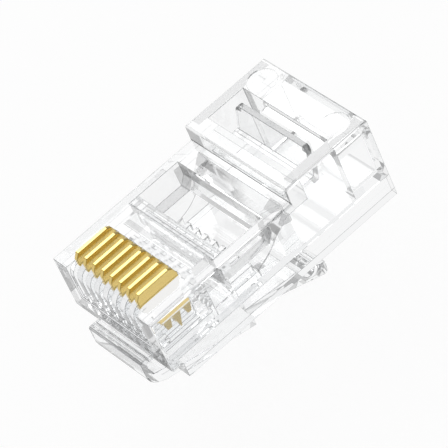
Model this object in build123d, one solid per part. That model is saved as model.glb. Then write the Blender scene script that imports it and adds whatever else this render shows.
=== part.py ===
from build123d import *
import os

os.makedirs("parts", exist_ok=True)

# Eight-contact modular plug for network cable, before crimping. Sizes in millimetres.
# x runs across the plug, y from the front face to the cable end, z up. Heights in this file are
# measured from the underside of the rails, and the finished solids are lowered so that the origin
# sits on the front face, at the middle of the row of wires.

# Overall size of the housing
plug_width = 11.68
plug_length = 21.6
front_height = 6.4
rear_height = 7.85
step_position = 13.65
edge_round = 0.22

# Underside: rails with the latch recess between them
rail_height = 1.45
rail_width = 1.3
rail_setback = 1.0
floor_thickness = 0.45

# Contacts and the wire channels under them
contact_count = 8
contact_pitch = 1.02
contact_thickness = 0.33
slot_clearance = 0.05
slot_end_gap = 0.1
contact_proud = 1.0
contact_front = 0.75
contact_back = 4.42
contact_shoulder_depth = 0.15
blade_front = 1.17
blade_back = 3.98
prong_root_height = 4.72
prong_tip_height = 3.32
outer_tip_height = 3.9
crimp_travel = 1.3
wire_row_height = 2.3
channel_width = 0.58
channel_top = 2.9
channel_start = 0.4
channel_lead_in = 0.3

# Slotted zone at the front
slot_zone_half = 4.15
slot_bottom_at_front = 3.5
rib_setback = 0.12
rib_round = 0.95

# Pocket under the top where the wires lie side by side, in front of the window
pocket_start = 5.34
pocket_top = 5.95

# Front window with ledges, and the fins that guide the wires
front_window_start = 6.78
front_window_end = 11.58
front_window_half = 4.9
ledge_height = 4.35
conductor_half = 3.95
fin_start = 7.33
fin_height = 2.75
fin_end = 9.6
fin_foot = 10.3
ledge_ramp = 0.5
ledge_ramp_height = 0.72

# Funnel from the jacket chamber to the wires: its ceiling comes down in a curve
funnel_half = 4.1
funnel_front_top = 2.65
funnel_curve_start = 8.2
funnel_narrow_end = 12.0

# Bridge, jacket chamber and rear window
bridge_underside = 5.24
chamber_start = 13.25
chamber_half = 4.8
rear_window_start = 15.15
rear_window_end = 18.65

# Cable entry
entry_half = 4.0
entry_top = 6.1
entry_corner = 0.6
entry_flare = 0.35

# Marks of the ejector pins on the raised top
pin_mark_radius = 1.2
pin_mark_depth = 0.05
pin_mark_x = 4.1
pin_mark_y = 19.95

# Wire clamp in the front window
clamp_depth = 0.85
clamp_thickness = 1.4
clamp_top_drop = 0.02
clamp_keel_height = 2.95
clamp_keel_depth = 0.42
clamp_keel_clearance = 0.1
groove_top = 4.4
groove_bottom = 3.67
groove_depth = 0.12
moving_gap = 0.05

# Jacket anchor in the rear window
anchor_half = 4.1
anchor_top_drop = 0.05
anchor_top_position = 17.2
anchor_thickness = 0.45
anchor_lean = 0.288
anchor_foot = 5.2
anchor_web = 0.3
anchor_web_bottom = 5.53

# Latch
latch_front = 0.95
latch_wall = 0.42
latch_half = 3.1
latch_root_top = 1.42
latch_root_thickness = 0.45
latch_root_joint = 0.3
latch_root_gap = 0.1
heel_position = 0.4
heel_height = -1.55
shoulder_position = 8.4
shoulder_drop = -3.45
tail_bend_position = 12.5
tail_bend_height = -4.68
tail_end = 16.3
tail_end_height = -5.85
tail_half = 1.63
tail_corner = 0.7
arm_thickness = 1.1
arm_end_position = 13.3
arm_end_height = -2.95
grip_half = 1.2
grip_radius = 0.12

# Sizes that follow from the ones above
half_width = plug_width / 2
floor_height = rail_height + floor_thickness
slot_width = contact_thickness + 2 * slot_clearance
contact_top = front_height + contact_proud
shoulder_height = front_height - contact_shoulder_depth
anchor_top = rear_height - anchor_top_drop
past = 1.0


def block(low, high):
    size = [high[i] - low[i] for i in range(3)]
    middle = [(high[i] + low[i]) / 2 for i in range(3)]
    return Pos(*middle) * Box(*size)


def side_prism(outline, low_x, high_x):
    face = make_face(Polyline(*outline, close=True))
    return Plane.YZ.offset(low_x) * extrude(face, high_x - low_x)


def mirrored_prism(outline, near_x, far_x):
    return side_prism(outline, near_x, far_x) + side_prism(outline, -far_x, -near_x)


def along_y(face, start, distance, height):
    return Pos(0, start, height) * Rot(-90, 0, 0) * extrude(face, distance)


def contact_positions():
    first = -(contact_count - 1) / 2 * contact_pitch
    return [first + i * contact_pitch for i in range(contact_count)]


def outer_shape():
    outline = [
        (0, rail_height),
        (plug_length, rail_height),
        (plug_length, rear_height),
        (step_position, rear_height),
        (step_position, front_height),
        (0, front_height),
    ]
    body = side_prism(outline, -half_width, half_width)
    rail = [
        (rail_setback, 0),
        (plug_length, 0),
        (plug_length, rail_height + past),
        (rail_setback, rail_height + past),
    ]
    body += mirrored_prism(rail, half_width - rail_width, half_width)
    long_edges = body.edges().filter_by(Axis.Y)
    long_edges = long_edges.filter_by_position(Axis.Z, front_height - 0.01, rear_height + 0.01)
    end_edges = body.edges().filter_by(Axis.X)
    end_edges = end_edges.filter_by_position(Axis.Z, rear_height - 0.01, rear_height + 0.01)
    corner_edges = body.edges().filter_by(Axis.Z)
    corner_edges = corner_edges.filter_by_position(Axis.Y, -0.01, 0.01)
    return fillet(long_edges + end_edges + corner_edges, edge_round)


def wire_channels():
    # Tunnels for the wires, with a roof that rises where they open into the pocket. Behind the
    # pocket the same channels run on between the fins.
    tunnel = [
        (channel_start, floor_height),
        (pocket_start + 0.1, floor_height),
        (pocket_start + 0.1, channel_top + channel_lead_in + 0.1),
        (pocket_start - channel_lead_in, channel_top),
        (channel_start, channel_top),
    ]
    shape = Part()
    for x in contact_positions():
        left = x - channel_width / 2
        right = x + channel_width / 2
        shape += side_prism(tunnel, left, right)
        shape += block((left, fin_start - 0.1, floor_height), (right, fin_foot, fin_height + 0.1))
    return shape


def contact_slots():
    # The slot is open to the front, lets the blade down by its crimp travel, and opens into the
    # wire channel under the prongs.
    front_end = blade_front + slot_end_gap
    blade_end = blade_back + slot_end_gap
    shoulder_end = contact_back + slot_end_gap
    shoulder_floor = shoulder_height - crimp_travel - slot_end_gap
    outline = [
        (-past, slot_bottom_at_front),
        (front_end, slot_bottom_at_front),
        (front_end, wire_row_height),
        (blade_end, wire_row_height),
        (blade_end, shoulder_floor),
        (shoulder_end, shoulder_floor),
        (shoulder_end, front_height + past),
        (-past, front_height + past),
    ]
    shape = Part()
    for x in contact_positions():
        shape += side_prism(outline, x - slot_width / 2, x + slot_width / 2)
    return shape


def rib_fronts():
    # The ribs stand a little behind the front face, and their upper ends are rounded.
    low = front_height - rib_round
    line = Polyline(
        (rib_setback + rib_round, front_height + past),
        (-past, front_height + past),
        (-past, slot_bottom_at_front - 0.4),
        (rib_setback, slot_bottom_at_front - 0.4),
        (rib_setback, low),
    )
    arc = JernArc((rib_setback, low), (0, 1), rib_round, -90)
    close = Line((rib_setback + rib_round, front_height), (rib_setback + rib_round, front_height + past))
    face = make_face(Curve() + [line, arc, close])
    return Plane.YZ.offset(-slot_zone_half) * extrude(face, 2 * slot_zone_half)


def front_window():
    window = side_prism(
        [
            (front_window_start, ledge_height),
            (front_window_end - ledge_ramp, ledge_height),
            (front_window_end, ledge_height + ledge_ramp_height),
            (front_window_end, front_height + past),
            (front_window_start, front_height + past),
        ],
        -front_window_half,
        front_window_half,
    )
    cavity = side_prism(
        [
            (pocket_start, floor_height),
            (fin_start, floor_height),
            (fin_start, fin_height),
            (fin_end, fin_height),
            (fin_foot, floor_height),
            (front_window_end, floor_height),
            (front_window_end, ledge_height),
            (front_window_start + 0.1, ledge_height + 0.1),
            (front_window_start + 0.1, pocket_top),
            (pocket_start, pocket_top),
        ],
        -conductor_half,
        conductor_half,
    )
    return window + cavity


def funnel_space():
    ceiling = Spline(
        (chamber_start, bridge_underside),
        (chamber_start - 1.0, bridge_underside - 0.89),
        (chamber_start - 2.35, bridge_underside - 1.99),
        (funnel_curve_start, funnel_front_top),
        tangents=[(-0.75, -0.66), (-1, 0)],
    )
    outline = Polyline(
        (funnel_curve_start, funnel_front_top),
        (pocket_start, funnel_front_top),
        (pocket_start, floor_height),
        (chamber_start + 0.2, floor_height),
        (chamber_start + 0.2, bridge_underside),
        (chamber_start, bridge_underside),
    )
    face = make_face(Curve() + [ceiling, outline])
    side = Plane.YZ.offset(-chamber_half) * extrude(face, 2 * chamber_half)
    plan = Polyline(
        (-funnel_half, pocket_start - 0.1),
        (funnel_half, pocket_start - 0.1),
        (funnel_half, funnel_narrow_end),
        (chamber_half, chamber_start),
        (chamber_half, chamber_start + past),
        (-chamber_half, chamber_start + past),
        (-chamber_half, chamber_start),
        (-funnel_half, funnel_narrow_end),
        close=True,
    )
    whole = side & extrude(make_face(plan), rear_height)
    fins = block((-funnel_half, fin_start, floor_height), (funnel_half, fin_end, fin_height))
    return whole - fins


def jacket_chamber():
    chamber = block(
        (-chamber_half, chamber_start, floor_height),
        (chamber_half, rear_window_end, bridge_underside),
    )
    window = block(
        (-chamber_half, rear_window_start, floor_height),
        (chamber_half, rear_window_end, rear_height + past),
    )
    return chamber + window


def cable_entry():
    height = entry_top - floor_height
    middle = (entry_top + floor_height) / 2
    hole = RectangleRounded(2 * entry_half, height, entry_corner)
    tunnel = along_y(hole, rear_window_end - 0.2, plug_length - rear_window_end + 0.2 + past, middle)
    mouth_half = entry_half + entry_flare
    mouth = RectangleRounded(2 * mouth_half, height + 2 * entry_flare, entry_corner + entry_flare)
    small = Pos(0, plug_length - entry_flare, middle) * Rot(-90, 0, 0) * hole
    large = Pos(0, plug_length, middle) * Rot(-90, 0, 0) * mouth
    return tunnel + loft([small, large])


def pin_marks():
    mark = Pos(0, pin_mark_y, rear_height) * Cylinder(pin_mark_radius, 2 * pin_mark_depth)
    return Pos(pin_mark_x, 0, 0) * mark + Pos(-pin_mark_x, 0, 0) * mark


def latch_stub():
    outline = [
        (-latch_root_joint + latch_root_gap / 2, latch_root_top - latch_root_thickness),
        (0.6, latch_root_top - latch_root_thickness),
        (0.9, rail_height + 0.2),
        (0.1, rail_height + 0.2),
        (0.1, latch_root_top),
        (-latch_root_joint + latch_root_gap / 2, latch_root_top),
    ]
    return side_prism(outline, -latch_half, latch_half)


def make_housing():
    body = outer_shape()
    body -= front_window()
    body -= funnel_space()
    body -= jacket_chamber()
    body -= cable_entry()
    body -= wire_channels()
    body -= rib_fronts()
    body -= contact_slots()
    body -= pin_marks()
    body += latch_stub()
    return body


def prong(middle, root_half, tip_half, tip):
    return [
        (middle + root_half, prong_root_height),
        (middle + tip_half, tip),
        (middle - tip_half, tip),
        (middle - root_half, prong_root_height),
    ]


def make_contact(x):
    # One blade: a long top edge, two shoulders, a straight body and three piercing prongs.
    middle = (blade_front + blade_back) / 2
    outline = [
        (contact_front, shoulder_height),
        (contact_front, contact_top - 0.45),
        (contact_front + 0.3, contact_top),
        (contact_back - 0.57, contact_top),
        (contact_back - 0.2, contact_top - 0.22),
        (contact_back, contact_top - 0.75),
        (contact_back, shoulder_height),
        (blade_back, shoulder_height - 0.1),
    ]
    outline += prong(blade_back - 0.4, 0.36, 0.17, outer_tip_height)
    outline += prong(middle, 0.38, 0.04, prong_tip_height)
    outline += prong(blade_front + 0.53, 0.36, 0.2, outer_tip_height)
    outline += [(blade_front, prong_root_height + 0.2), (blade_front, shoulder_height - 0.1)]
    return side_prism(outline, x - contact_thickness / 2, x + contact_thickness / 2)


def make_wire_clamp():
    # A bar flush with the top, and under it a grooved keel that presses on the row of wires.
    front = front_window_start + moving_gap
    back = front + clamp_depth
    top = front_height - clamp_top_drop
    underside = top - clamp_thickness
    side = front_window_half - moving_gap
    bar = block((-side, front, underside), (side, back, top))
    keel = side_prism(
        [
            (front, clamp_keel_height),
            (front + clamp_keel_depth, clamp_keel_height),
            (front + clamp_keel_depth, groove_bottom),
            (back - 0.2, underside + 0.05),
            (front, underside + 0.05),
            (front, groove_top),
            (front + groove_depth, (groove_top + groove_bottom) / 2),
            (front, groove_bottom),
        ],
        -conductor_half + clamp_keel_clearance,
        conductor_half - clamp_keel_clearance,
    )
    return bar + keel


def make_jacket_anchor():
    # A leaning plate on a thin web. It folds about the lower edge of the web.
    def lean_at(height):
        return anchor_top_position - (anchor_top - height) * anchor_lean

    hinge_side = rear_window_start + moving_gap
    web_top = anchor_web_bottom + anchor_web
    outline = [
        (hinge_side, anchor_web_bottom),
        (hinge_side, web_top),
        (lean_at(web_top), web_top),
        (anchor_top_position, anchor_top),
        (anchor_top_position + anchor_thickness, anchor_top),
        (lean_at(anchor_foot) + anchor_thickness, anchor_foot),
        (lean_at(anchor_foot), anchor_foot),
        (lean_at(anchor_web_bottom) - 0.15, anchor_web_bottom),
    ]
    plate = side_prism(outline, -anchor_half, anchor_half)
    corners = plate.edges().filter_by(Axis.Y)
    corners = corners.filter_by_position(Axis.Z, anchor_top - 0.01, anchor_top + 0.01)
    return fillet(corners, 0.5)


def latch_profile():
    joint = -latch_root_joint - latch_root_gap / 2
    root_underside = latch_root_top - latch_root_thickness
    inner_wall = -latch_front + latch_wall
    root = [
        (inner_wall, root_underside),
        (joint, root_underside),
        (joint, latch_root_top),
        (-latch_front + 0.12, latch_root_top),
        (-latch_front, latch_root_top - 0.12),
        (-latch_front, -0.2),
        (-latch_front + 0.12, -0.62),
        (-latch_front + 0.35, -0.98),
        (-latch_front + 0.7, -1.22),
    ]
    underside = [
        (heel_position, heel_height),
        (shoulder_position, shoulder_drop),
        (tail_bend_position, tail_bend_height),
        (tail_end - 0.6, tail_end_height),
        (tail_end - 0.25, tail_end_height - 0.03),
        (tail_end, tail_end_height + 0.23),
    ]
    finger_pad = [
        (tail_end - 0.1, tail_end_height + 0.75),
        (tail_end - 0.35, tail_end_height + 1.0),
        (tail_end - 1.1, tail_end_height + 1.4),
        (tail_end - 1.25, tail_end_height + 1.3),
        (tail_end - 1.4, tail_end_height + 1.0),
        (tail_end - 1.7, tail_end_height + 0.88),
        (tail_end - 2.05, tail_end_height + 1.0),
        (tail_end - 2.6, tail_end_height + 1.7),
    ]
    upper_side = [
        (arm_end_position, arm_end_height),
        (shoulder_position, shoulder_drop + arm_thickness),
        (heel_position, heel_height + arm_thickness),
        (inner_wall + 0.15, -0.2),
        (inner_wall, 0.1),
    ]
    return root + underside + finger_pad + upper_side


def grip_ridges():
    ridge = Rot(0, 90, 0) * Cylinder(grip_radius, 2 * grip_half)
    shape = Pos(0, tail_end - 0.85, tail_end_height + 1.27) * ridge
    return shape + Pos(0, tail_end - 0.5, tail_end_height + 1.08) * ridge


def make_latch():
    full = side_prism(latch_profile(), -latch_half, latch_half)
    head_length = 5.0
    tail = Pos(0, tail_end - head_length / 2, -9) * extrude(
        RectangleRounded(2 * tail_half, head_length, tail_corner), 9
    )
    tail += block((-tail_half, shoulder_position, -9), (tail_half, tail_end - head_length / 2, 0))
    front = block((-latch_half, -latch_front, -9), (latch_half, shoulder_position, latch_root_top))
    return (full & (tail + front)) + grip_ridges()


def save(shape, name):
    solid = shape.moved(Location((0, 0, -wire_row_height)))
    export_step(solid, "parts/" + name + ".step")
    print(name, "volume", round(solid.volume, 3), "solids", len(solid.solids()))


save(make_housing(), "housing")
save(make_latch(), "latch")
for index, position in enumerate(contact_positions(), start=1):
    save(make_contact(position), "contact_" + str(index))
save(make_wire_clamp(), "wire_clamp")
save(make_jacket_anchor(), "jacket_anchor")
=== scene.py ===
import math
import bpy
import bmesh
from mathutils import Matrix, Vector


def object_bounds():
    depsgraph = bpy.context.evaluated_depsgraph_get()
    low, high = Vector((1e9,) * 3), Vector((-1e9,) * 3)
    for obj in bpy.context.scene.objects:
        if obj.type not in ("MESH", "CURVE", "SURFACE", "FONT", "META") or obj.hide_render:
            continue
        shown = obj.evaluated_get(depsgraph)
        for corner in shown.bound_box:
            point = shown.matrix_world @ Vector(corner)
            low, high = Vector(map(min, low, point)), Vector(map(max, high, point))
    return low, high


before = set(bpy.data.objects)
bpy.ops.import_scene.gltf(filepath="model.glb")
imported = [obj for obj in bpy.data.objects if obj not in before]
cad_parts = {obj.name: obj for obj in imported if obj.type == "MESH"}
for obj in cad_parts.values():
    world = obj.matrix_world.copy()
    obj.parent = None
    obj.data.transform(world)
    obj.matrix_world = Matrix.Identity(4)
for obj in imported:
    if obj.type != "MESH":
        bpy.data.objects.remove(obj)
cadLow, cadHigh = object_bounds()
print("plug frame loaded with", len(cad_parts), "nodes")

mm = 0.001

clearPlastic = {
    "tint": (0.985, 0.989, 0.991, 1.0),
    "ior": 1.586,
    "caught": (0.97, 0.972, 0.974, 1.0),  # light that keeps bouncing inside dims at each wall
    "caughtBounces": 2.5,                 # and goes straight on after this many bounces
    "caughtSteps": 9.5,                   # or this many steps in all
    "caughtWalls": 6.5,                   # until it has passed this many walls
    # then the plastic glows at this level instead, a painted light
    "paintedEndGlow": 0.93,
    "cornerRound": 0.025 * mm,
    "paintedCornerShade": (0.1, 0.104, 0.108, 1.0),    # the mould's sharp corners are tinted dark, a painted shade that draws thin grey lines
    "paintedShadeTint": (0.2, 0.204, 0.208, 1.0),      # dark share mixed into the listed walls, a painted shade
    "flowSize": 260.0,                    # waves of the melt, per metre
    "flowDepth": 0.004 * mm,
    "scuffSize": 2600.0,
    "scuffHaze": 0.03,                    # extra roughness in the handling scuffs
}

# Painted shade on walls, edges and corners: lowest corner and highest corner in mm, for both halves of the
# plug, and how clear the wall still is
paintedShadeWalls = [
    ((3.9, 6.8, 2.03), (4.92, 11.1, 2.07), 0.7),       # ledge of the front window
    ((3.9, 11.0, 2.0), (4.92, 11.6, 3.7), 0.66),       # its back corner
    ((0.0, 11.3, 3.4), (4.9, 11.62, 4.1), 0.93),
    ((3.96, 6.74, 2.0), (4.92, 6.82, 4.11), 0.62),     # its front corner
    ((3.95, 18.6, 2.9), (4.83, 18.67, 5.56), 0.6),     # back corner of the rear window
    ((0.0, 18.6, 2.9), (3.95, 18.67, 3.7), 0.62),
    ((0.0, 5.45, 3.62), (3.97, 5.9, 3.68), 0.7),       # roof of the wire pocket
    ((3.93, 5.34, 1.9), (3.97, 6.78, 3.66), 0.75),
    ((3.5, 12.3, 2.3), (4.87, 13.4, 3.0), 0.62),       # corner of the funnel's roof
    ((3.5, 11.2, 1.2), (4.87, 12.3, 2.98), 0.85),
    ((5.75, 0.0, 4.02), (5.86, 13.7, 4.12), 0.65),     # long top edges
    ((5.75, 13.6, 5.47), (5.86, 21.7, 5.56), 0.6),
    ((4.86, 14.3, 5.53), (5.7, 21.3, 5.56), 0.78),     # top beside the rear window
    ((4.95, 1.0, 4.08), (5.7, 13.6, 4.11), 0.93),      # and beside the front one
    ((4.6, -0.02, -0.9), (5.86, 0.02, 4.1), 0.8),      # ends of the front face
    ((0.0, 21.48, 5.4), (5.86, 21.7, 5.56), 0.66),
    ((5.68, 1.0, -2.31), (5.85, 21.7, -2.27), 0.6),    # lowest edge of the rails
]

# Inner corners where the painted corner shade is left out, so they draw hardly any line
paleCorners = [
    ((0.0, 18.75, -1.0), (5.2, 21.4, 5.56)),
    ((0.0, 13.8, -1.0), (4.7, 18.75, 2.85)),
    ((0.0, 10.9, -0.2), (4.1, 11.9, 1.95)),
]

# Painted shade on the wire clamp and the jacket anchor: lowest corner, highest corner in mm, how clear the
# wall still is
partPaintedShade = [
    ((0.0, 6.8, 1.2), (4.9, 6.85, 2.75), 0.6),         # front of the wire clamp, below its bar
    ((0.0, 17.1, 5.45), (4.12, 17.72, 5.52), 0.68),    # top of the jacket anchor
    ((3.6, 17.1, 4.9), (4.12, 17.8, 5.52), 0.45),
]

# Light goes straight through these faces
thinWalls = [
    ((4.5, 0.9, -2.31), (5.86, 21.7, -2.28)),          # underside of the rails
]

# Painted shade along the edges of the latch's front wall
latchPaintedShade = [
    ((0.0, -0.96, -2.95), (3.12, -0.8, -2.5), 0.35),   # lower and upper edge of the latch's front wall
    ((0.0, -0.96, -1.0), (3.12, -0.82, -0.87), 0.55),
]

latchThin = [
    ((0.0, -0.54, -3.6), (3.12, -0.52, -1.3)),         # back of its front wall
    ((0.0, -0.36, -1.34), (3.12, -0.34, -0.87)),       # and of its root
    ((0.0, -0.54, -1.34), (3.12, -0.34, -1.32)),
]

goldContacts = {
    "face": (0.83, 0.635, 0.235, 1.0),
    # dark tint for the blades' rounded edges, a painted shade
    "corner": (0.42, 0.29, 0.07, 1.0),
    "deep": (0.47, 0.36, 0.14, 1.0),      # painted shade: the prongs below the line are darker
    "paleLineColour": (0.93, 0.9, 0.82, 1.0),     # a pale line across the blades between the darker prongs and the tops
    "shadeLineHeight": (2.42 * mm, 2.56 * mm),
    "polish": 0.1,
    "brushed": 0.16,
    "brushSize": 5200.0,
    "brushStretch": 0.06,                 # the strip was rolled along the blade
    "brushDepth": 0.0008 * mm,
    "cloudSize": 900.0,                   # patches of thicker plating
    "cloudShare": 0.3,
    "cornerRound": 0.03 * mm,
}

rounding = {
    "joinGap": 0.001 * mm,                # the solids' faces come unjoined
    "plainAngle": 0.6,
    "segments": 2,
    "sharpAngle": 37,                     # degrees, only sharper corners are rounded
}

studio = {
    "below": 0.94,                        # the white table, as glass and metal see it
    "above": 0.38,                        # the dim room
    "skirting": 0.22,                     # the room's dark foot behind the table's edge
    "cardCore": 0.6,                      # share of a card's half angle that is evenly bright
    "cards": [                            # azimuth, elevation, half angle in degrees, level
        (162, 38, 34, 0.95),
        (228, 14, 24, 0.86),
        (15, 38, 14, 0.72),
        (72, -22, 15, 0.4),
        (215, -24, 22, 0.62),
    ],
    "floorDrop": 0.02 * mm,
    "floorSize": 0.7,
    "floorColour": (0.93, 0.93, 0.93, 1.0),
    "floorGlow": 1.03,
    "floorShade": 0.1,                    # share of the floor that takes shadows
    "keyLamp": (160, 42, 0.3, 0.17, 0.12),     # azimuth, elevation, distance, size, power
    "fillLamp": (-20, 55, 0.4, 0.25, 0.05),
}

view = {
    "lens": 311.936,
    "sensor": 36.0,
    "place": (0.18806932, -0.06725766, 0.19165494),
    "right": (0.61560592, 0.72400748, -0.31119532),
    "up": (-0.40765322, 0.63051783, 0.66050444),
    "back": (0.67442435, -0.27975067, 0.68329449),
}


def newGroup(name, inputs, outputs):
    group = bpy.data.node_groups.new(name, "ShaderNodeTree")
    for label, kind, value in inputs:
        socket = group.interface.new_socket(label, in_out="INPUT", socket_type=kind)
        socket.default_value = value
    for label, kind in outputs:
        group.interface.new_socket(label, in_out="OUTPUT", socket_type=kind)
    start = group.nodes.new("NodeGroupInput")
    end = group.nodes.new("NodeGroupOutput")
    return group, start, end


def mathNode(tree, operation, first, second=None, third=None):
    node = tree.nodes.new("ShaderNodeMath")
    node.operation = operation
    for socket, value in zip(node.inputs, (first, second, third)):
        if value is None:
            continue
        if isinstance(value, (int, float)):
            socket.default_value = value
        else:
            tree.links.new(value, socket)
    return node.outputs[0]


def rangeNode(tree, value, low, high, smooth=True):
    node = tree.nodes.new("ShaderNodeMapRange")
    node.interpolation_type = "SMOOTHSTEP" if smooth else "LINEAR"
    node.inputs["From Min"].default_value = low
    node.inputs["From Max"].default_value = high
    tree.links.new(value, node.inputs["Value"])
    return node.outputs[0]


def makeMeltGroup():
    # slow waves of the melt and light scuffs of handling
    group, start, end = newGroup(
        "mouldedSurface",
        [("Flow Scale", "NodeSocketFloat", 260.0), ("Scuff Scale", "NodeSocketFloat", 2600.0)],
        [("Height", "NodeSocketFloat"), ("Scuffs", "NodeSocketFloat")],
    )
    place = group.nodes.new("ShaderNodeTexCoord")
    stretch = group.nodes.new("ShaderNodeMapping")
    stretch.inputs["Scale"].default_value = (1.0, 0.35, 1.0)
    waves = group.nodes.new("ShaderNodeTexNoise")
    waves.inputs["Detail"].default_value = 1.0
    marks = group.nodes.new("ShaderNodeTexNoise")
    marks.inputs["Detail"].default_value = 6.0
    link = group.links.new
    link(place.outputs["Object"], stretch.inputs["Vector"])
    link(stretch.outputs[0], waves.inputs["Vector"])
    link(start.outputs["Flow Scale"], waves.inputs["Scale"])
    link(place.outputs["Object"], marks.inputs["Vector"])
    link(start.outputs["Scuff Scale"], marks.inputs["Scale"])
    link(waves.outputs[0], end.inputs["Height"])
    link(rangeNode(group, marks.outputs[0], 0.58, 0.8), end.inputs["Scuffs"])
    return group


meltGroup = makeMeltGroup()


def makeWallGroup():
    # one where a point lies in the box, with x taken without its sign, so both halves match
    group, start, end = newGroup(
        "wallBox",
        [("Low", "NodeSocketVector", (0.0, 0.0, 0.0)), ("High", "NodeSocketVector", (0.0, 0.0, 0.0))],
        [("Inside", "NodeSocketFloat")],
    )
    place = group.nodes.new("ShaderNodeTexCoord")
    both = group.nodes.new("ShaderNodeVectorMath")
    both.operation = "ABSOLUTE"
    split = group.nodes.new("ShaderNodeSeparateXYZ")
    half = group.nodes.new("ShaderNodeSeparateXYZ")
    lows = group.nodes.new("ShaderNodeSeparateXYZ")
    highs = group.nodes.new("ShaderNodeSeparateXYZ")
    link = group.links.new
    link(place.outputs["Object"], both.inputs[0])
    link(both.outputs[0], half.inputs[0])
    link(place.outputs["Object"], split.inputs[0])
    link(start.outputs["Low"], lows.inputs[0])
    link(start.outputs["High"], highs.inputs[0])
    inside = 1.0
    for axis, source in (("X", half), ("Y", split), ("Z", split)):
        over = mathNode(group, "GREATER_THAN", source.outputs[axis], lows.outputs[axis])
        under = mathNode(group, "LESS_THAN", source.outputs[axis], highs.outputs[axis])
        inside = mathNode(group, "MULTIPLY", inside, mathNode(group, "MULTIPLY", over, under))
    link(inside, end.inputs["Inside"])
    return group


wallGroup = makeWallGroup()


def wallNode(tree, low, high):
    box = tree.nodes.new("ShaderNodeGroup")
    box.node_tree = wallGroup
    box.inputs["Low"].default_value = [c * mm for c in low]
    box.inputs["High"].default_value = [c * mm for c in high]
    return box.outputs["Inside"]


def colourMix(tree, share, first, second):
    node = tree.nodes.new("ShaderNodeMix")
    node.data_type = "RGBA"
    for number, value in ((6, first), (7, second)):
        if isinstance(value, tuple):
            node.inputs[number].default_value = value
        else:
            tree.links.new(value, node.inputs[number])
    tree.links.new(share, node.inputs[0])
    return node.outputs[2]


def shaderMix(tree, share, first, second):
    node = tree.nodes.new("ShaderNodeMixShader")
    if isinstance(share, float):
        node.inputs[0].default_value = share
    else:
        tree.links.new(share, node.inputs[0])
    tree.links.new(first.outputs[0], node.inputs[1])
    tree.links.new(second.outputs[0], node.inputs[2])
    return node


# how much of the painted shade each listed wall takes
def mattShare(tree, shadedWalls):
    clear = 1.0
    for low, high, amount in shadedWalls:
        part = mathNode(tree, "MULTIPLY_ADD", wallNode(tree, low, high), amount - 1.0, 1.0)
        clear = mathNode(tree, "MULTIPLY", clear, part)
    return mathNode(tree, "SUBTRACT", 1.0, clear)


def makeClear(name, tint, haze, shadedWalls=(), thin=(), pale=()):
    material = bpy.data.materials.new(name)
    material.use_nodes = True
    tree = material.node_tree
    link = tree.links.new
    shader = tree.nodes["Principled BSDF"]
    shader.inputs["Base Color"].default_value = tint
    if pale:
        light = 0.0
        for low, high in pale:
            light = mathNode(tree, "MAXIMUM", light, wallNode(tree, low, high))
        link(colourMix(tree, light, tint, clearPlastic["tint"]), shader.inputs["Base Color"])
    shader.inputs["Transmission Weight"].default_value = 1.0
    shader.inputs["IOR"].default_value = clearPlastic["ior"]
    surface = tree.nodes.new("ShaderNodeGroup")
    surface.node_tree = meltGroup
    surface.inputs["Flow Scale"].default_value = clearPlastic["flowSize"]
    surface.inputs["Scuff Scale"].default_value = clearPlastic["scuffSize"]
    link(mathNode(tree, "MULTIPLY", surface.outputs["Scuffs"], haze), shader.inputs["Roughness"])
    bump = tree.nodes.new("ShaderNodeBump")
    bump.inputs["Strength"].default_value = 1.0
    bump.inputs["Distance"].default_value = clearPlastic["flowDepth"]
    link(surface.outputs["Height"], bump.inputs["Height"])
    link(bump.outputs["Normal"], shader.inputs["Normal"])
    # lamps shine through the clear wall, light caught inside it comes straight out, and past caughtWalls
    # walls the plastic glows evenly, a painted light
    rays = tree.nodes.new("ShaderNodeLightPath")
    caught = mathNode(tree, "GREATER_THAN", rays.outputs["Glossy Depth"], clearPlastic["caughtBounces"])
    deep = mathNode(tree, "GREATER_THAN", rays.outputs["Ray Depth"], clearPlastic["caughtSteps"])
    last = mathNode(tree, "GREATER_THAN", rays.outputs["Transparent Depth"], clearPlastic["caughtWalls"])
    passing = mathNode(tree, "MAXIMUM", caught, deep)
    passing = mathNode(tree, "MAXIMUM", passing, rays.outputs["Is Shadow Ray"])
    for low, high in thin:
        passing = mathNode(tree, "MAXIMUM", passing, wallNode(tree, low, high))
    through = tree.nodes.new("ShaderNodeBsdfTransparent")
    through.inputs["Color"].default_value = clearPlastic["caught"]
    glow = tree.nodes.new("ShaderNodeEmission")
    glow.inputs["Strength"].default_value = clearPlastic["paintedEndGlow"]
    # painted shade: a dark diffuse share is mixed into the listed walls
    if shadedWalls:
        matt = tree.nodes.new("ShaderNodeBsdfDiffuse")
        matt.inputs["Color"].default_value = clearPlastic["paintedShadeTint"]
        shader = shaderMix(tree, mattShare(tree, shadedWalls), shader, matt)
    choice = shaderMix(tree, passing, shader, shaderMix(tree, last, through, glow))
    link(choice.outputs[0], tree.nodes["Material Output"].inputs["Surface"])
    return material


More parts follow.
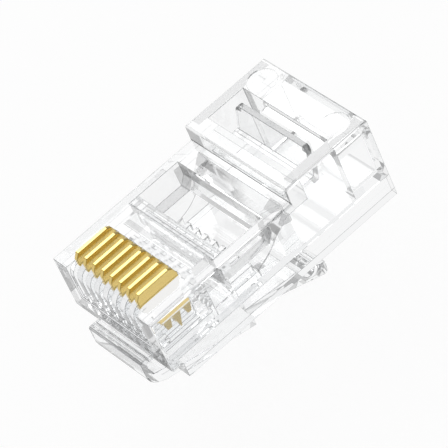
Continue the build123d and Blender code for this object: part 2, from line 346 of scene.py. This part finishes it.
def makeGold(name, face):
    material = bpy.data.materials.new(name)
    material.use_nodes = True
    tree = material.node_tree
    link = tree.links.new
    shader = tree.nodes["Principled BSDF"]
    shader.inputs["Metallic"].default_value = 1.0
    place = tree.nodes.new("ShaderNodeTexCoord")
    parts = tree.nodes.new("ShaderNodeSeparateXYZ")
    link(place.outputs["Object"], parts.inputs[0])
    brushed = tree.nodes.new("ShaderNodeMapping")
    brushed.inputs["Scale"].default_value = (1.0, goldContacts["brushStretch"], 1.0)
    grain = tree.nodes.new("ShaderNodeTexNoise")
    grain.inputs["Scale"].default_value = goldContacts["brushSize"]
    grain.inputs["Detail"].default_value = 4.0
    link(place.outputs["Object"], brushed.inputs["Vector"])
    link(brushed.outputs[0], grain.inputs["Vector"])
    cloud = tree.nodes.new("ShaderNodeTexNoise")
    cloud.inputs["Scale"].default_value = goldContacts["cloudSize"]
    link(place.outputs["Object"], cloud.inputs["Vector"])
    # the blades are painted darker below the line, a painted shade, with a pale line between
    lineLow, lineHigh = goldContacts["shadeLineHeight"]
    aboveShadeLine = rangeNode(tree, parts.outputs["Z"], lineLow, lineHigh)
    onPaleLine = mathNode(tree, "COMPARE", parts.outputs["Z"], (lineLow + lineHigh) / 2, (lineHigh - lineLow) / 2)
    share = goldContacts["cloudShare"]
    uneven = mathNode(tree, "MULTIPLY_ADD", cloud.outputs[0], share, 1.0 - share / 2)
    amount = mathNode(tree, "MULTIPLY", aboveShadeLine, uneven)
    colour = colourMix(tree, amount, goldContacts["deep"], face)
    link(colourMix(tree, onPaleLine, colour, goldContacts["paleLineColour"]), shader.inputs["Base Color"])
    rough = mathNode(tree, "MULTIPLY_ADD", grain.outputs[0], goldContacts["brushed"], goldContacts["polish"])
    link(rough, shader.inputs["Roughness"])
    bump = tree.nodes.new("ShaderNodeBump")
    bump.inputs["Distance"].default_value = goldContacts["brushDepth"]
    link(grain.outputs[0], bump.inputs["Height"])
    link(bump.outputs["Normal"], shader.inputs["Normal"])
    # light that has already bounced inside the plastic misses the gold, so no stray gold shows
    rays = tree.nodes.new("ShaderNodeLightPath")
    bounced = mathNode(tree, "GREATER_THAN", rays.outputs["Glossy Depth"], 0.5)
    inside = mathNode(tree, "GREATER_THAN", rays.outputs["Transmission Depth"], 0.5)
    stray = mathNode(tree, "MULTIPLY", bounced, inside)
    through = tree.nodes.new("ShaderNodeBsdfTransparent")
    choice = shaderMix(tree, stray, shader, through)
    link(choice.outputs[0], tree.nodes["Material Output"].inputs["Surface"])
    return material


def makeInsideGroup():
    # a rounded corner never stands out of the plug's own box
    group = bpy.data.node_groups.new("keptInside", "GeometryNodeTree")
    group.interface.new_socket("Geometry", in_out="INPUT", socket_type="NodeSocketGeometry")
    group.interface.new_socket("Geometry", in_out="OUTPUT", socket_type="NodeSocketGeometry")
    start = group.nodes.new("NodeGroupInput")
    end = group.nodes.new("NodeGroupOutput")
    place = group.nodes.new("GeometryNodeInputPosition")
    move = group.nodes.new("GeometryNodeSetPosition")
    above = group.nodes.new("ShaderNodeVectorMath")
    above.operation = "MAXIMUM"
    above.inputs[1].default_value = cadLow
    under = group.nodes.new("ShaderNodeVectorMath")
    under.operation = "MINIMUM"
    under.inputs[1].default_value = cadHigh
    link = group.links.new
    link(place.outputs[0], above.inputs[0])
    link(above.outputs[0], under.inputs[0])
    link(start.outputs[0], move.inputs["Geometry"])
    link(under.outputs[0], move.inputs["Position"])
    link(move.outputs[0], end.inputs[0])
    return group


insideGroup = makeInsideGroup()


def dress(node, material, paintedCornerMaterial, cornerRound):
    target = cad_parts[node]
    target.data.materials.clear()
    target.data.materials.append(material)
    target.data.materials.append(paintedCornerMaterial)
    weld = target.modifiers.new("joinedFaces", "WELD")
    weld.merge_threshold = rounding["joinGap"]
    flat = target.modifiers.new("plainFaces", "DECIMATE")
    flat.decimate_type = "DISSOLVE"
    flat.angle_limit = math.radians(rounding["plainAngle"])
    corners = target.modifiers.new("roundedCorners", "BEVEL")
    corners.width = cornerRound
    corners.segments = rounding["segments"]
    corners.limit_method = "ANGLE"
    corners.angle_limit = math.radians(rounding["sharpAngle"])
    corners.use_clamp_overlap = False
    # the rounded corner faces take the second material, painted with dark shade
    corners.material = 1
    limits = target.modifiers.new("keptInside", "NODES")
    limits.node_group = insideGroup


tint, haze = clearPlastic["tint"], clearPlastic["scuffHaze"]
housingClear = makeClear("housingClear", tint, haze, paintedShadeWalls, thinWalls)
partClear = makeClear("partClear", tint, haze, partPaintedShade)
latchClear = makeClear("latchClear", tint, haze * 2, latchPaintedShade, latchThin)
paintedCornerClear = makeClear("paintedCornerClear", clearPlastic["paintedCornerShade"], haze, pale=paleCorners)
goldFace = makeGold("contactGold", goldContacts["face"])
goldPaintedCorner = makeGold("contactPaintedCorner", goldContacts["corner"])

clearParts = {
    "housing": housingClear,
    "latch": latchClear,
    "wire_clamp": partClear,
    "jacket_anchor": partClear,
}
for node, material in clearParts.items():
    dress(node, material, paintedCornerClear, clearPlastic["cornerRound"])
for number in range(1, 9):
    dress("contact_" + str(number), goldFace, goldPaintedCorner, goldContacts["cornerRound"])
print("materials placed")


def direction(azimuth, elevation):
    turn, lift = math.radians(azimuth), math.radians(elevation)
    return Vector((math.cos(turn) * math.cos(lift), math.sin(turn) * math.cos(lift), math.sin(lift)))


def makeWorld():
    world = bpy.data.worlds.new("studioWorld")
    bpy.context.scene.world = world
    world.use_nodes = True
    tree = world.node_tree
    link = tree.links.new
    place = tree.nodes.new("ShaderNodeTexCoord")
    parts = tree.nodes.new("ShaderNodeSeparateXYZ")
    link(place.outputs["Generated"], parts.inputs[0])
    side = rangeNode(tree, parts.outputs["Z"], -studio["skirting"], studio["skirting"] * 0.3)
    level = mathNode(tree, "MULTIPLY_ADD", side, studio["above"] - studio["below"], studio["below"])
    for azimuth, elevation, spread, brightness in studio["cards"]:
        facing = tree.nodes.new("ShaderNodeVectorMath")
        facing.operation = "DOT_PRODUCT"
        facing.inputs[1].default_value = direction(azimuth, elevation)
        link(place.outputs["Generated"], facing.inputs[0])
        edge = math.cos(math.radians(spread))
        core = math.cos(math.radians(spread * studio["cardCore"]))
        card = rangeNode(tree, facing.outputs["Value"], edge, core)
        change = mathNode(tree, "SUBTRACT", brightness, level)
        level = mathNode(tree, "MULTIPLY_ADD", card, change, level)
    rays = tree.nodes.new("ShaderNodeLightPath")
    white = mathNode(tree, "SUBTRACT", 1.0, level)
    level = mathNode(tree, "MULTIPLY_ADD", rays.outputs["Is Camera Ray"], white, level)
    link(level, tree.nodes["Background"].inputs["Strength"])
    tree.nodes["Background"].inputs["Color"].default_value = (1.0, 1.0, 1.0, 1.0)


def makeFloor():
    # the camera sees a white floor with the plug's faint shadow on it
    mesh = bpy.data.meshes.new("floor")
    shape = bmesh.new()
    bmesh.ops.create_grid(shape, x_segments=1, y_segments=1, size=studio["floorSize"])
    bmesh.ops.translate(shape, verts=shape.verts, vec=(0, 0, cadLow.z - studio["floorDrop"]))
    shape.to_mesh(mesh)
    shape.free()
    floor = bpy.data.objects.new("floor", mesh)
    bpy.context.collection.objects.link(floor)
    material = bpy.data.materials.new("paleFloor")
    material.use_nodes = True
    tree = material.node_tree
    link = tree.links.new
    tree.nodes.remove(tree.nodes["Principled BSDF"])
    matt = tree.nodes.new("ShaderNodeBsdfDiffuse")
    matt.inputs["Color"].default_value = studio["floorColour"]
    glow = tree.nodes.new("ShaderNodeEmission")
    glow.inputs["Strength"].default_value = studio["floorGlow"]
    rays = tree.nodes.new("ShaderNodeLightPath")
    lit = shaderMix(tree, studio["floorShade"], glow, matt)
    plain = shaderMix(tree, rays.outputs["Is Camera Ray"], matt, lit)
    clear = tree.nodes.new("ShaderNodeBsdfTransparent")
    past = mathNode(tree, "MAXIMUM", rays.outputs["Is Glossy Ray"], rays.outputs["Is Transmission Ray"])
    seen = shaderMix(tree, past, plain, clear)
    link(seen.outputs[0], tree.nodes["Material Output"].inputs["Surface"])
    mesh.materials.append(material)


def makeLamp(name, azimuth, elevation, distance, size, power):
    lamp = bpy.data.lights.new(name, "AREA")
    lamp.shape = "DISK"
    lamp.size = size
    lamp.energy = power
    lampObject = bpy.data.objects.new(name, lamp)
    bpy.context.collection.objects.link(lampObject)
    middle = (cadLow + cadHigh) / 2
    out = direction(azimuth, elevation)
    lampObject.location = middle + out * distance
    lampObject.rotation_euler = out.to_track_quat("Z", "Y").to_euler()
    return lampObject


makeWorld()
makeFloor()
makeLamp("keyLamp", *studio["keyLamp"])
makeLamp("fillLamp", *studio["fillLamp"]).visible_glossy = False
print("studio placed")

camera = bpy.data.cameras.new("plugCamera")
camera.lens = view["lens"]
camera.sensor_width = view["sensor"]
camera.clip_start = 0.01
cameraObject = bpy.data.objects.new("plugCamera", camera)
bpy.context.collection.objects.link(cameraObject)
turn = Matrix((view["right"], view["up"], view["back"])).transposed().to_4x4()
cameraObject.matrix_world = Matrix.Translation(view["place"]) @ turn
bpy.context.scene.camera = cameraObject
bpy.context.scene.view_settings.view_transform = "Standard"
print("camera placed")
